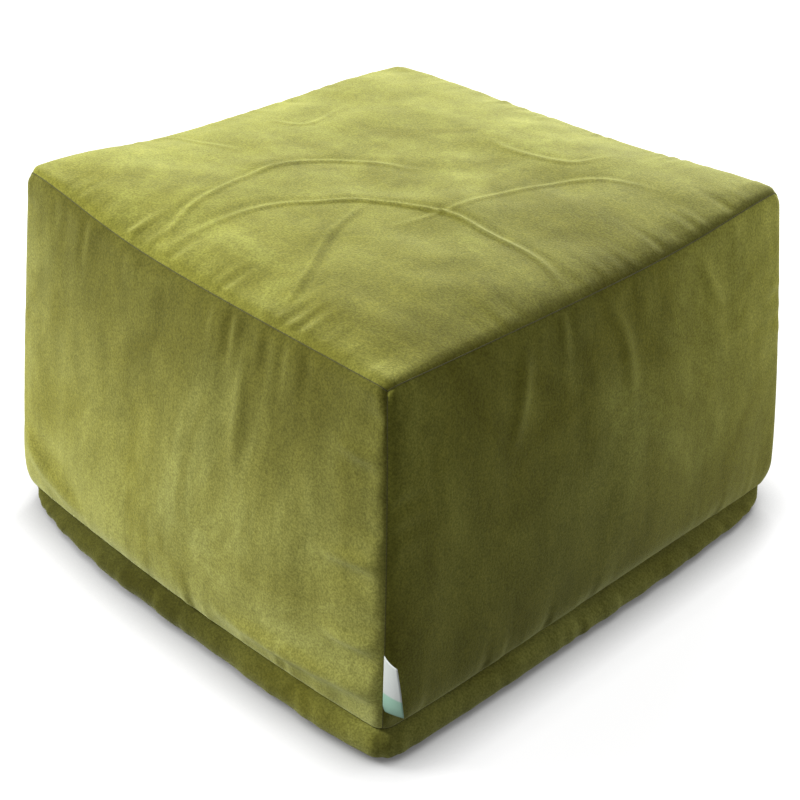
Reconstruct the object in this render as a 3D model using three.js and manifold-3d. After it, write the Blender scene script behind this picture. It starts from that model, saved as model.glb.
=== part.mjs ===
// A cube-shaped floor cushion: a velvet slipcover that zips shut over a filled insert.
// The cover is six panels. At each seam the two panels' allowances turn inwards side by side
// and a thread runs through both. The zip lies in the seam between the back and the bottom.
// Inside are a liner bag sewn the same way, a batting wrap and a core of polystyrene beads.
// Millimetres, +Z up. The origin is on the floor, under the middle of the cushion.
// -Y is the front, +X the right side and +Y the back.
import * as THREE from "three";
import { mergeVertices } from "three/addons/utils/BufferGeometryUtils.js";
import Module from "manifold-3d";

const wasm = await Module();
wasm.setup();

// ---- Driving dimensions ----
const GAP = 0.3; // between pieces that touch
const LAYER_GAP = 0.6; // between the cover, the liner, the batting and the core

// The cover's outside
const BASE_WIDTH = 680; // across the bottom seam
const TOP_WIDTH = 600; // across the top seam
const TOP_SEAM_Z = 410;
const BOTTOM_SEAM_Z = 36; // the bottom panel rolls up this far from the floor
const UPRIGHT_Z = 65; // the sides are flat and upright to here, then lean in and bulge
const LEAN_POWER = 1.5; // how late the lean comes on: 1 is a straight lean
const CROWN = 25; // rise of the top panel's middle over its seam
const SIDE_BULGE = 10; // how far a side's middle stands out from its corners
const BASE_ROUND = 21; // radius of the bottom panel's roll off the floor

// Sewing
const COVER_CLOTH = 1.6;
const COVER_ALLOWANCE = 8; // from a face in to the end of the turned-in allowances
const COVER_FULLNESS = 4; // 2 is a round pillow, and more is boxier
const LINER_CLOTH = 0.9;
const LINER_ALLOWANCE = 7;
const SOFT_FULLNESS = 3; // of the liner, the batting and the core
const THREAD = 1; // thickness of the cover's seam threads
const LINER_THREAD = 0.5;
const STITCH_INSET = 3; // from a face in to its seam's thread
const CORNER_THREAD_END = 14; // the corner threads stop this short of the top and bottom seams

// The insert's layers
const LINER_INSET = 17; // from the cover's edges in to the liner's
const BATTING_INSET = 8; // from the liner's edges in to the batting's
const BATTING = 15;
const BATTING_LAP_Z = 60; // top of the bottom sheet's turned-up rim

// Zip: a number 5 coil
const ZIP_OPENING = 14; // height of the slot that shows the coils
const ZIP_CHAIN_LENGTH = 600;
const TAPE_WIDTH = 13.3;
const TAPE = 0.6;
const TAPE_TAIL = 16; // the tapes run on past the coils
const COIL_WIDTH = 2.5;
const COIL_HEIGHT = 2.2;
const COIL_SPACE = 1.3; // between the rows, for the slider's web
const STOP_LENGTH = 4;
const TOP_STITCH_INSET = 3; // from the slot's edge to the row of stitches
const SLIDER_LENGTH = 14;
const SLIDER_WIDTH = 11.4;
const SLIDER_NECK = 9.2;
const SLIDER_PLATE = 1.2;
const SLIDER_LIP = 1;
const WEB_LENGTH = 5;
const BAIL_LENGTH = 8;
const BAIL_WIDTH = 2;
const BAIL_WALL = 1.2;
const BAIL_TUNNEL = 2.4; // height of the tunnel that holds the pull's bar
const PULL_LENGTH = 28;
const PULL_WIDTH = 8;
const PULL_THICKNESS = 1.2;
const PULL_BAR = 1.4; // the bar in the tunnel, on which the pull turns
const PULL_SLOT_LENGTH = 4.8;
const PULL_SLOT_WIDTH = 3.2;
const PULL_EYE_RADIUS = 1.6;

// The woven label in the front right corner seam
const LABEL_HEIGHT = 66;
const LABEL_WIDTH = 25;
const LABEL = 1;
const LABEL_BOTTOM_Z = 51;
const LABEL_DIRECTION = 29; // degrees from +X towards +Y in which it stands out
const LABEL_STAND_OFF = 0.6; // from the seam out to the sewn edge it swings on, each way

// ---- Values that follow ----
const HALF_BASE = BASE_WIDTH / 2;
const HALF_TOP = TOP_WIDTH / 2;
const ZIP_Z = BOTTOM_SEAM_Z + ZIP_OPENING / 2;
const SEAM_GAP = GAP / 2; // from each panel to the plane of its seam
const SIDES = ["front", "right", "back", "left"];
const UP = new THREE.Vector3(0, 0, 1);

// ---- Materials ----
const soft = (color, roughness = 0.95) =>
  new THREE.MeshStandardMaterial({ color, roughness, metalness: 0 });
const velvet = soft(0x7c8038, 0.9);
const velvetThread = soft(0x5b5f28);
const calico = soft(0xd9d4c4);
const calicoThread = soft(0xe8e4d8);
const wadding = soft(0xf2f1ec, 1);
const beads = soft(0xf7f7f4, 0.8);
const ribbon = soft(0xdfe6de);
const zipTape = soft(0x6a6e30);
const zipCoil = soft(0x5f632b, 0.5);
const zipMetal = new THREE.MeshStandardMaterial({
  color: 0xb9b6ad,
  roughness: 0.3,
  metalness: 1,
});

// ---- Solids ----

function toSolid(geometry) {
  const bare = geometry.clone();
  bare.deleteAttribute("normal");
  bare.deleteAttribute("uv");
  const merged = mergeVertices(bare, 1e-3);
  const corners = merged.index.array;
  const kept = [];
  for (let n = 0; n < corners.length; n += 3) {
    const [a, b, c] = [corners[n], corners[n + 1], corners[n + 2]];
    if (a !== b && b !== c && c !== a) kept.push(a, b, c);
  }
  return new wasm.Manifold(
    new wasm.Mesh({
      numProp: 3,
      vertProperties: merged.attributes.position.array,
      triVerts: new Uint32Array(kept),
    }),
  );
}

function toGeometry(solid) {
  const mesh = solid.getMesh();
  return new THREE.BufferGeometry()
    .setAttribute("position", new THREE.BufferAttribute(mesh.vertProperties, 3))
    .setIndex(new THREE.BufferAttribute(mesh.triVerts, 1));
}

const join = (...solids) => solids.reduce((whole, solid) => whole.add(solid));
const cut = (body, ...tools) => tools.reduce((left, tool) => left.subtract(tool), body);
const quarterTurn = (solid, k) => toSolid(toGeometry(solid).rotateZ((k * Math.PI) / 2));

// A block between two corners.
function block(x0, x1, y0, y1, z0, z1) {
  const box = new THREE.BoxGeometry(x1 - x0, y1 - y0, z1 - z0);
  return toSolid(box.translate((x0 + x1) / 2, (y0 + y1) / 2, (z0 + z1) / 2));
}

// Everything beyond a plane that lies square to a direction, at a distance along it.
function beyond({ direction, distance }) {
  const size = 4 * BASE_WIDTH;
  const square = new THREE.BoxGeometry(size, size, size).translate(0, 0, size / 2 + distance);
  const normal = new THREE.Vector3(...direction).normalize();
  return toSolid(square.applyQuaternion(new THREE.Quaternion().setFromUnitVectors(UP, normal)));
}

const group = new THREE.Group();

function place(name, solid, material) {
  const mesh = new THREE.Mesh(toGeometry(solid), material);
  mesh.name = name;
  group.add(mesh);
}

// ---- Soft forms ----

const GRID = 8; // cells along each edge of a form
const FLAT_FROM = 0.93; // a pillow's middle is level from this share of its height

function coverHalf(z) {
  const share = (z - UPRIGHT_Z) / (TOP_SEAM_Z - UPRIGHT_Z);
  return HALF_BASE - (HALF_BASE - HALF_TOP) * Math.max(0, share) ** LEAN_POWER;
}

// Places from -1 to 1, closer together towards the ends.
const spread = (k, cells) => -Math.cos((k * Math.PI) / cells);

// Splits each cell of a box along the diagonal that runs outwards from its face's middle.
function splitOutwards(box) {
  const position = box.attributes.position;
  const out = (n) =>
    Math.abs(position.getX(n)) + Math.abs(position.getY(n)) + Math.abs(position.getZ(n));
  const corners = box.index.array;
  for (let n = 0; n < corners.length; n += 6) {
    const [a, b, d, , c] = corners.slice(n, n + 6);
    const outwards = Math.abs(out(a) - out(c)) > Math.abs(out(b) - out(d));
    if (outwards) corners.set([a, b, c, a, c, d], n);
  }
}

// A form like the cover's outside. Its edges lie `seam` inside the cover's edges, and the
// middles of its faces lie `middle` inside the cover's.
function softForm({ seam, middle, fullness }) {
  const topEdge = TOP_SEAM_Z - seam;
  const rise = (amount, u, v) => {
    const share = (1 - Math.abs(u) ** fullness) * (1 - Math.abs(v) ** fullness);
    return (amount + seam - middle) * Math.min(1, share / FLAT_FROM);
  };
  const geometry = new THREE.BoxGeometry(GRID, GRID, GRID, GRID, GRID, GRID);
  splitOutwards(geometry);
  const position = geometry.attributes.position;
  const cell = (value) => Math.round(value + GRID / 2);
  for (let n = 0; n < position.count; n++) {
    const i = cell(position.getX(n));
    const j = cell(position.getY(n));
    const k = cell(position.getZ(n));
    const u = spread(i, GRID);
    const v = spread(j, GRID);
    if (k === 0) {
      const ring = Math.min(i, GRID - i, j, GRID - j);
      const { reach, height } = underside(ring, HALF_BASE - seam, middle);
      const out = Math.max(Math.abs(u), Math.abs(v)) || 1;
      position.setXYZ(n, (u / out) * reach, (v / out) * reach, height);
      continue;
    }
    const w = spread(k - 1, GRID - 1);
    const z = UPRIGHT_Z + ((topEdge - UPRIGHT_Z) * (w + 1)) / 2;
    const half = coverHalf(z) - seam;
    const onX = i === 0 || i === GRID;
    const onY = j === 0 || j === GRID;
    position.setXYZ(
      n,
      u * half + (onX ? Math.sign(u) * rise(SIDE_BULGE, v, w) : 0),
      v * half + (onY ? Math.sign(v) * rise(SIDE_BULGE, u, w) : 0),
      z + (onX || onY ? 0 : rise(CROWN, u, v)),
    );
  }
  return toSolid(geometry);
}

// The rings of a form's underside, from its bottom seam in over the roll to its flat.
function underside(ring, half, floor) {
  if (ring === 0) return { reach: half, height: BOTTOM_SEAM_Z };
  const round = Math.max(GAP, BASE_ROUND - floor);
  const turn = (Math.min(ring, 3) - 1) * (Math.PI / 4);
  return {
    reach: half - round * (1 - Math.cos(turn)),
    height: floor + round * (1 - Math.sin(turn)),
  };
}

const inset = (form, by) => ({ ...form, seam: form.seam + by, middle: form.middle + by });

// ---- Sewn bags ----

// The planes round a bag's panels, drawn in from the seams. Top seams and corner seams are
// mitred, and the bottom seam is level.
function topPlanes(form, drawnIn) {
  const edge = TOP_SEAM_Z - form.seam;
  const distance = (coverHalf(edge) - form.seam - edge) * Math.SQRT1_2 - drawnIn;
  const directions = [[0, -1, -1], [1, 0, -1], [0, 1, -1], [-1, 0, -1]];
  return directions.map((direction) => ({ direction, distance }));
}

function frontPlanes(form, drawnIn) {
  const edge = TOP_SEAM_Z - form.seam;
  const distance = (edge - coverHalf(edge) + form.seam) * Math.SQRT1_2 - drawnIn;
  return [
    { direction: [0, 1, 1], distance },
    { direction: [1, 1, 0], distance: -drawnIn },
    { direction: [-1, 1, 0], distance: -drawnIn },
    { direction: [0, 0, -1], distance: -BOTTOM_SEAM_Z - drawnIn },
  ];
}

const bottomPlanes = (form, drawnIn) => [
  { direction: [0, 0, 1], distance: BOTTOM_SEAM_Z - drawnIn },
];

// One panel: a cloth skin over its face, with an allowance turned in along each seam.
function sewnPanel(bag, planes) {
  const trimmed = (form, drawnIn) =>
    cut(softForm(form), ...planes(bag.form, drawnIn).map(beyond));
  const skin = trimmed(bag.form, SEAM_GAP);
  const room = trimmed(inset(bag.form, bag.cloth), SEAM_GAP + bag.cloth);
  return cut(skin, room, softForm(inset(bag.form, bag.allowance)));
}

// A level seam's thread: a square ring round the bag, made thicker to cut its own room.
function ringThread(bag, z, room = 0) {
  const thick = bag.thread / 2 + room;
  const middle = coverHalf(z) - bag.form.seam - STITCH_INSET;
  const [outer, inner] = [middle + thick, middle - thick];
  const slab = block(-outer, outer, -outer, outer, z - thick, z + thick);
  return cut(slab, block(-inner, inner, -inner, inner, z - 2 * thick, z + 2 * thick));
}

// The thread of the seam between the front and the right side, which leans in with them.
function cornerThread(bag, room = 0) {
  const steps = 6;
  const low = BOTTOM_SEAM_Z + CORNER_THREAD_END - room;
  const high = TOP_SEAM_Z - bag.form.seam - CORNER_THREAD_END + room;
  const points = [];
  for (let k = 0; k <= steps; k++) {
    const z = low + ((high - low) * k) / steps;
    const at = coverHalf(z) - bag.form.seam - STITCH_INSET;
    points.push(new THREE.Vector3(at, -at, z));
  }
  const section = new THREE.Shape().absarc(0, 0, bag.thread / 2 + room, 0, 2 * Math.PI);
  const extrudePath = new THREE.CatmullRomCurve3(points);
  const settings = { steps, curveSegments: 4, bevelEnabled: false, extrudePath };
  return toSolid(new THREE.ExtrudeGeometry(section, settings));
}

// All twelve seams and six panels. `opening` is what the zip takes out of the bag, by piece.
function sewBag(bag, opening = {}) {
  const topThreadZ = TOP_SEAM_Z - bag.form.seam - STITCH_INSET;
  const topRoom = ringThread(bag, topThreadZ, GAP);
  const bottomRoom = ringThread(bag, BOTTOM_SEAM_Z, GAP);
  const cornerRoom = cornerThread(bag, GAP);
  const open = (name, solid) => cut(solid, ...(opening[name] ?? []));

  const top = cut(sewnPanel(bag, topPlanes), topRoom);
  place(`${bag.name}_top_panel`, top, bag.material);
  const bottom = cut(sewnPanel(bag, bottomPlanes), bottomRoom);
  place(`${bag.name}_bottom_panel`, open("bottom", bottom), bag.material);

  const corners = [cornerRoom, quarterTurn(cornerRoom, -1)];
  const side = cut(sewnPanel(bag, frontPlanes), topRoom, bottomRoom, ...corners);
  SIDES.forEach((name, k) => {
    place(`${bag.name}_${name}_panel`, open(name, quarterTurn(side, k)), bag.material);
    const thread = quarterTurn(cornerThread(bag), k);
    const next = SIDES[(k + 1) % SIDES.length];
    place(`${bag.name}_${name}_${next}_seam_thread`, thread, bag.threadMaterial);
  });

  place(`${bag.name}_top_seam_thread`, ringThread(bag, topThreadZ), bag.threadMaterial);
  const bottomThread = open("thread", ringThread(bag, BOTTOM_SEAM_Z));
  place(`${bag.name}_bottom_seam_thread`, bottomThread, bag.threadMaterial);
}

// ---- Slipcover and zip ----

const cover = {
  name: "cover",
  form: { seam: 0, middle: 0, fullness: COVER_FULLNESS },
  cloth: COVER_CLOTH,
  allowance: COVER_ALLOWANCE,
  thread: THREAD,
  material: velvet,
  threadMaterial: velvetThread,
};

const HALF_CHAIN = ZIP_CHAIN_LENGTH / 2;
const HALF_SLOT = HALF_CHAIN + STOP_LENGTH + 2 * GAP;
const HALF_TAPE = HALF_CHAIN + TAPE_TAIL;
const TAPE_OUTER_Y = HALF_BASE - COVER_CLOTH - GAP;
const TAPE_INNER_Y = TAPE_OUTER_Y - TAPE;
const COIL_INNER_Y = TAPE_OUTER_Y + GAP;
const COIL_OUTER_Y = COIL_INNER_Y + COIL_HEIGHT;
const COIL_EDGE = COIL_SPACE / 2; // a coil's near edge, from the middle of the zip
const COIL_FAR_EDGE = COIL_EDGE + COIL_WIDTH;
const TAPE_FAR_EDGE = COIL_EDGE + TAPE_WIDTH;
const SLOT_EDGE = ZIP_OPENING / 2;

// A band along the zip between two distances above its middle, or below it for side -1.
function band(side, near, far, halfLength, y0, y1) {
  const [low, high] = side > 0 ? [near, far] : [-far, -near];
  return block(-halfLength, halfLength, y0, y1, ZIP_Z + low, ZIP_Z + high);
}

// The row of stitches that holds the cloth to a tape. It lies half sunk in the cloth.
function zipStitch(side, room = 0) {
  const at = SLOT_EDGE + TOP_STITCH_INSET;
  const thick = THREAD / 2 + room;
  return band(side, at - thick, at + thick, HALF_SLOT + room, HALF_BASE - thick, HALF_BASE + thick);
}

// What the zip takes out of the cover: the slot, room for the tapes, and the stitches' rows.
function zipOpening() {
  const reach = HALF_TAPE + GAP;
  const high = ZIP_Z + TAPE_FAR_EDGE + GAP;
  const low = ZIP_Z - TAPE_FAR_EDGE - GAP;
  const inside = HALF_BASE - COVER_CLOTH;
  const tapes = block(-reach, reach, inside - COVER_ALLOWANCE, inside, low, high);
  const slot = band(1, -ZIP_OPENING, SLOT_EDGE, HALF_SLOT, 0, BASE_WIDTH);
  const threadEnd = block(-reach, reach, 0, BASE_WIDTH, low, high);
  return {
    back: [slot, tapes, zipStitch(1, GAP)],
    bottom: [tapes, zipStitch(-1, GAP)],
    thread: [threadEnd],
  };
}

function zipHalf(name, side) {
  const tape = band(side, COIL_EDGE, TAPE_FAR_EDGE, HALF_TAPE, TAPE_INNER_Y, TAPE_OUTER_Y);
  const coil = band(side, COIL_EDGE, COIL_FAR_EDGE, HALF_CHAIN, COIL_INNER_Y, COIL_OUTER_Y);
  const halfStop = STOP_LENGTH / 2;
  const stop = band(side, COIL_EDGE, COIL_FAR_EDGE, halfStop, COIL_INNER_Y, COIL_OUTER_Y);
  place(`zip_${name}_tape`, tape, zipTape);
  place(`zip_${name}_coil`, coil, zipCoil);
  place(`zip_${name}_stitching`, zipStitch(side), velvetThread);
  place(`zip_${name}_top_stop`, stop.translate([HALF_CHAIN + GAP + halfStop, 0, 0]), zipMetal);
}

function zipBottomStop() {
  const end = -HALF_CHAIN - GAP;
  const [low, high] = [ZIP_Z - COIL_FAR_EDGE, ZIP_Z + COIL_FAR_EDGE];
  const stop = block(end - STOP_LENGTH, end, COIL_INNER_Y, COIL_OUTER_Y, low, high);
  place("zip_bottom_stop", stop, zipMetal);
}

// The slider stands at the closed end of the zip. Its wide end leads as the zip closes.
const SLIDER_X = HALF_CHAIN - SLIDER_LENGTH / 2;
const PLATE_INNER_Y = COIL_OUTER_Y + GAP;
const PLATE_OUTER_Y = PLATE_INNER_Y + SLIDER_PLATE;
const PULL_AXIS_Y = PLATE_OUTER_Y + BAIL_TUNNEL / 2;

// A flat shape drawn along the zip from the slider's middle, given thickness outwards.
function plate(shape, y, thickness) {
  const slab = new THREE.ExtrudeGeometry(shape, { depth: thickness, bevelEnabled: false });
  return toSolid(slab.rotateX(Math.PI / 2).translate(SLIDER_X, y + thickness, ZIP_Z));
}

const outlineOf = (corners) => corners.map(([x, y]) => new THREE.Vector2(x, y));

function slider() {
  const [end, wide, narrow] = [SLIDER_LENGTH / 2, SLIDER_WIDTH / 2, SLIDER_NECK / 2];
  const half = [[-end, narrow], [0, wide], [end, wide]];
  const mirrored = half.map(([x, y]) => [x, -y]).reverse();
  const outline = new THREE.Shape(outlineOf([...mirrored, ...half].reverse()));
  const innerPlateY = TAPE_INNER_Y - GAP - SLIDER_PLATE;
  const innerPlate = plate(outline, innerPlateY, SLIDER_PLATE);
  const outerPlate = plate(outline, PLATE_INNER_Y, SLIDER_PLATE);

  const root = PLATE_OUTER_Y - SLIDER_PLATE / 2; // where the parts on a plate grow from it
  const web = COIL_EDGE - GAP;
  const webY = innerPlateY + SLIDER_PLATE / 2;
  const webBlock = block(SLIDER_X, SLIDER_X + WEB_LENGTH, webY, root, ZIP_Z - web, ZIP_Z + web);
  const lip = (side) => {
    const near = COIL_FAR_EDGE + GAP;
    const bar = band(side, near, near + SLIDER_LIP, end, TAPE_OUTER_Y + GAP, root);
    return bar.translate([SLIDER_X, 0, 0]);
  };
  place("zip_slider", join(innerPlate, outerPlate, webBlock, lip(1), lip(-1), bail(root)), zipMetal);
}

// The bridge on the slider that the pull hangs from.
function bail(root) {
  const [half, wide] = [BAIL_LENGTH / 2, BAIL_WIDTH / 2];
  const roof = PLATE_OUTER_Y + BAIL_TUNNEL;
  const [x0, x1] = [SLIDER_X - half, SLIDER_X + half];
  const [z0, z1] = [ZIP_Z - wide, ZIP_Z + wide];
  const bridge = block(x0, x1, root, roof + BAIL_WALL, z0, z1);
  const tunnel = block(x0 + BAIL_WALL, x1 - BAIL_WALL, PLATE_OUTER_Y, roof, z0 - wide, z1 + wide);
  return cut(bridge, tunnel);
}

// The pull hangs on the bail by the bar at its end, and lies back along the closed zip.
function pull() {
  const [half, bar, slot] = [PULL_WIDTH / 2, PULL_BAR / 2, PULL_SLOT_WIDTH / 2];
  const [y0, y1] = [PULL_AXIS_Y - PULL_THICKNESS / 2, PULL_AXIS_Y + PULL_THICKNESS / 2];
  const tip = SLIDER_X + half - PULL_LENGTH;
  const disc = (radius, thickness) => {
    const cylinder = new THREE.CylinderGeometry(radius, radius, thickness, 24);
    return toSolid(cylinder.translate(tip, PULL_AXIS_Y, ZIP_Z));
  };
  const blade = block(tip, SLIDER_X + bar, y0, y1, ZIP_Z - half, ZIP_Z + half);
  const slotEnd = SLIDER_X - bar - PULL_SLOT_LENGTH;
  const opening = block(slotEnd, SLIDER_X - bar, y0 - 1, y1 + 1, ZIP_Z - slot, ZIP_Z + slot);
  const body = join(blade, disc(half, PULL_THICKNESS));
  place("zip_pull", cut(body, opening, disc(PULL_EYE_RADIUS, 2 * PULL_THICKNESS)), zipMetal);
}

function zip() {
  zipHalf("upper", 1);
  zipHalf("lower", -1);
  zipBottomStop();
  slider();
  pull();
}

// ---- Label ----

// A folded ribbon whose raw edges are caught in the corner seam.
function label() {
  const hinge = coverHalf(LABEL_BOTTOM_Z) + LABEL_STAND_OFF;
  const flap = new THREE.BoxGeometry(LABEL_WIDTH, LABEL, LABEL_HEIGHT)
    .translate(LABEL_WIDTH / 2, 0, LABEL_BOTTOM_Z + LABEL_HEIGHT / 2)
    .rotateZ(THREE.MathUtils.degToRad(LABEL_DIRECTION))
    .translate(hinge, -hinge, 0);
  place("side_label", toSolid(flap), ribbon);
}

// ---- Insert ----

const layer = (seam, middle) => ({ seam, middle, fullness: SOFT_FULLNESS });

const liner = {
  name: "liner",
  form: layer(LINER_INSET, COVER_CLOTH + LAYER_GAP),
  cloth: LINER_CLOTH,
  allowance: LINER_ALLOWANCE,
  thread: LINER_THREAD,
  material: calico,
  threadMaterial: calicoThread,
};

// A top sheet, a wrap round the sides, a bottom sheet with a turned-up rim, and the core.
function filling() {
  const outer = layer(LINER_INSET + BATTING_INSET, liner.form.middle + LINER_CLOTH + LAYER_GAP);
  const inner = layer(outer.seam + BATTING, outer.middle + BATTING);
  const sheet = cut(softForm(outer), softForm(inner));
  const above = (drawnIn) => topPlanes(outer, drawnIn).map(beyond);
  const over = { direction: [0, 0, 1], distance: BATTING_LAP_Z - SEAM_GAP };
  const under = { direction: [0, 0, -1], distance: -BATTING_LAP_Z - SEAM_GAP };
  const topBlock = cut(softForm(outer), ...above(-SEAM_GAP));
  place("batting_top", cut(sheet, ...above(SEAM_GAP)), wadding);
  place("batting_bottom", cut(sheet, beyond(over)), wadding);
  place("batting_wrap", cut(sheet, topBlock, beyond(under)), wadding);
  const core = layer(inner.seam + LAYER_GAP, inner.middle + LAYER_GAP);
  place("bead_core", softForm(core), beads);
}

sewBag(cover, zipOpening());
zip();
label();
sewBag(liner);
filling();

export default group;
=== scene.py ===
# A cube-shaped velvet floor cushion: zipped slipcover, calico liner bag, batting and bead core.
# Metres, in the CAD model's frame: origin on the floor, +Z up, -Y the front, +X the right side.
import math

import bmesh
import bpy
import numpy as np
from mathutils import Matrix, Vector


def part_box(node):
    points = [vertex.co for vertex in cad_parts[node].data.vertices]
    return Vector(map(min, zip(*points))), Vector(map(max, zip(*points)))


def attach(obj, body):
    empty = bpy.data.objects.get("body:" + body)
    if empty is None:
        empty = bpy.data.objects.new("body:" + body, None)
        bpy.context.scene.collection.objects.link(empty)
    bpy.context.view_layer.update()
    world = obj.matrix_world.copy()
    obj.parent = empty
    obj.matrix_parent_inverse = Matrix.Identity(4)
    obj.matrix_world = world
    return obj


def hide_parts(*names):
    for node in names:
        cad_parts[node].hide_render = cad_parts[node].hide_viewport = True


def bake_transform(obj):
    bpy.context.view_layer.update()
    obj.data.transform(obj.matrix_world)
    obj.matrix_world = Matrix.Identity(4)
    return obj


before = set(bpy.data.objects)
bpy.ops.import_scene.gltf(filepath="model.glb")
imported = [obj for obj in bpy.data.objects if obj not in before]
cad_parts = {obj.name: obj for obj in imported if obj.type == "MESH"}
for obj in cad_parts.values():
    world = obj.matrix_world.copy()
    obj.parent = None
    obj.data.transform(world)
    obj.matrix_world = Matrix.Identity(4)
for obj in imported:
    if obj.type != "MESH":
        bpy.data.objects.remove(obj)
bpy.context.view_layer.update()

# ---- Sizes from the CAD model ----
HALF_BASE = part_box("cover_bottom_panel")[1][0]
HALF_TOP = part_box("cover_top_panel")[1][0]
TOP_SEAM_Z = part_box("cover_front_panel")[1][2]
CROWN_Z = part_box("cover_top_panel")[1][2]
SEAM_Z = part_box("cover_bottom_panel")[1][2]
COIL_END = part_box("zip_upper_coil")[1][0]
ZIP_Z = (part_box("zip_upper_tape")[0][2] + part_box("zip_lower_tape")[1][2]) / 2
LABEL_LOW, LABEL_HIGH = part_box("side_label")
LINER_INSET = HALF_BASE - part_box("liner_bottom_panel")[1][0]
SIDES = ["front", "right", "back", "left"]

# ---- How the cover is shaped ----
SPACING = 0.0042  # between the grid lines of a panel, away from its seams
EDGE_STEPS = [0, 0.0008, 0.0018, 0.003, 0.0046, 0.0066, 0.009, 0.012, 0.0155]
CLOTH = 0.0012
SEAM_GAP = 0.0002  # from a panel to the plane of its seam
ALLOWANCE = 0.007
COVER_THREAD = 0.0005  # radius
CALICO_CLOTH = 0.0008
CALICO_ALLOWANCE = 0.006
CALICO_THREAD = 0.0003
CORNER_FADE = 0.03  # how far from a corner its two seams' shapes mix
CLEFT = 0.0018  # the narrow valley at a seam
CLEFT_REACH = 0.0020
# How far each side bows out at its middle, low down and at the top
BASE_BOWS = {"front": 0.016, "right": 0.013, "back": 0, "left": 0.008}
TOP_BOWS = {"front": 0.003, "right": 0.004, "back": 0.009, "left": 0.016}
# How far each side's foot is drawn in, and how far each side's top seam is from the middle
BASE_DRAWN_IN = {"front": 0.002, "right": 0.005, "back": 0, "left": 0.014}
TOP_HALVES = {"front": HALF_TOP - 0.003, "right": HALF_TOP + 0.009, "back": HALF_TOP + 0.010,
              "left": HALF_TOP + 0.016}
BASE_SHIFT = 0.006  # the base has crept this far towards -X and -Y under the top
BAND = 0.017  # how far the bottom panel bellies out under its seam
ZIP_BAND = 0.003
BAND_CLOTH = 0.056  # the cloth's length from the bottom seam to the floor
LEAN_FROM = 0.065  # the height from which the sides lean in
LEAN_POWER = 1.25
FRONT_SKEW = 0.010  # the front's top seam runs a little in towards the left
# Where the filling has pushed the top corners up: (lift, reach, corner in x, corner in y)
CORNER_LIFTS = [(0.025, 0.17, -1, -1), (0.015, 0.16, 1, 1), (0.007, 0.20, -1, 1)]
# How far the base's corners stand out or are drawn in: (push in x, push in y, reach, x, y)
BASE_PUSHES = [(0.013, 0.003, 0.20, 1, -1), (-0.007, -0.007, 0.20, -1, -1), (-0.007, 0, 0.20, 1, 1)]
# Where the bottom seam sags towards the floor at a corner: (share, reach in x, reach in y, x, y)
CORNER_SAGS = [(0.4, 0.16, 0.16, -1, -1), (0.4, 0.02, 0.16, 1, 1)]
# How round the bottom panel is at each corner: the corner in x and y, and its share
BAND_CORNERS = {(1, -1): 0.15, (-1, -1): 0.9, (1, 1): 0.85, (-1, 1): 0.5}
BAND_DRAWN_IN = 0.024  # how far a fully round corner is drawn in at the floor
SWELL = 0.008  # how far the middle of each side stands out past its seams
ROLL_REACH = 0.014  # how far from a seam the cloth starts to roll towards it
LOW_ROLL_REACH = 0.032


# ---- Small helpers ----

def ticks(length):
    """Places from 0 to length, closer together near both ends."""
    edge = np.array(EDGE_STEPS)
    inner = length - 2 * edge[-1]
    even = np.linspace(0, inner, max(2, round(inner / SPACING)) + 1)[1:-1] + edge[-1]
    return np.concatenate([edge, even, (length - edge)[::-1]])


def soft_noise(u, v, seed):
    """Smooth noise from -1 to 1, with one bump or hollow to each unit of u and v."""
    table = np.random.default_rng(seed).uniform(-1, 1, (64, 64))
    u, v = np.broadcast_arrays(u, v)
    i, j = np.floor(u).astype(int), np.floor(v).astype(int)
    f, g = u - i, v - j
    f, g = f * f * f * (f * (6 * f - 15) + 10), g * g * g * (g * (6 * g - 15) + 10)

    def value(a, b):
        return table[(i + a) % 64, (j + b) % 64]

    low = value(0, 0) * (1 - f) + value(1, 0) * f
    high = value(0, 1) * (1 - f) + value(1, 1) * f
    return low * (1 - g) + high * g


def smooth_path(points, steps=10):
    """A Catmull-Rom curve through points."""
    points = np.array(points, float)
    padded = np.vstack([2 * points[0] - points[1], points, 2 * points[-1] - points[-2]])
    t = np.linspace(0, 1, steps, endpoint=False)[:, None]
    parts = []
    for a, b, c, d in zip(padded, padded[1:], padded[2:], padded[3:]):
        parts.append(b + t * (c - a) / 2 + t**2 * (a - 2.5 * b + 2 * c - d / 2)
                     + t**3 * (1.5 * (b - c) + (d - a) / 2))
    return np.vstack(parts + [points[-1:]])


def crease(u, v, points, height, width=0.0036):
    """A pinched fold along a curve: a narrow ridge with a wider hollow along one side."""
    path = smooth_path(points)
    steps = np.diff(path, axis=0)
    nearest = np.full(u.shape, np.inf)
    signed = np.zeros(u.shape)
    along = np.zeros(u.shape)
    for k, (start, step) in enumerate(zip(path, steps)):
        du, dv = u - start[0], v - start[1]
        t = np.clip((du * step[0] + dv * step[1]) / (step @ step), 0, 1)
        ou, ov = du - t * step[0], dv - t * step[1]
        reach = np.hypot(ou, ov)
        closer = reach < nearest
        nearest = np.where(closer, reach, nearest)
        side = np.sign(step[0] * ov - step[1] * ou)
        signed = np.where(closer, side * reach, signed)
        along = np.where(closer, (k + t) / len(steps), along)
    taper = np.sin(np.pi * np.clip(along, 0.02, 0.98)) ** 0.7
    ridge = np.exp(-((signed / width) ** 2))
    hollow = np.exp(-(((signed - 2.4 * width) / (2 * width)) ** 2))
    return height * taper * (ridge - 0.4 * hollow)


def unattached(name, mesh, look):
    piece = bpy.data.objects.new(name, mesh)
    bpy.context.scene.collection.objects.link(piece)
    mesh.materials.append(look)
    return piece


def new_object(name, mesh, look):
    """A piece that stays with the cushion."""
    piece = unattached(name, mesh, look)
    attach(piece, "cushion")
    return piece


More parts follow.
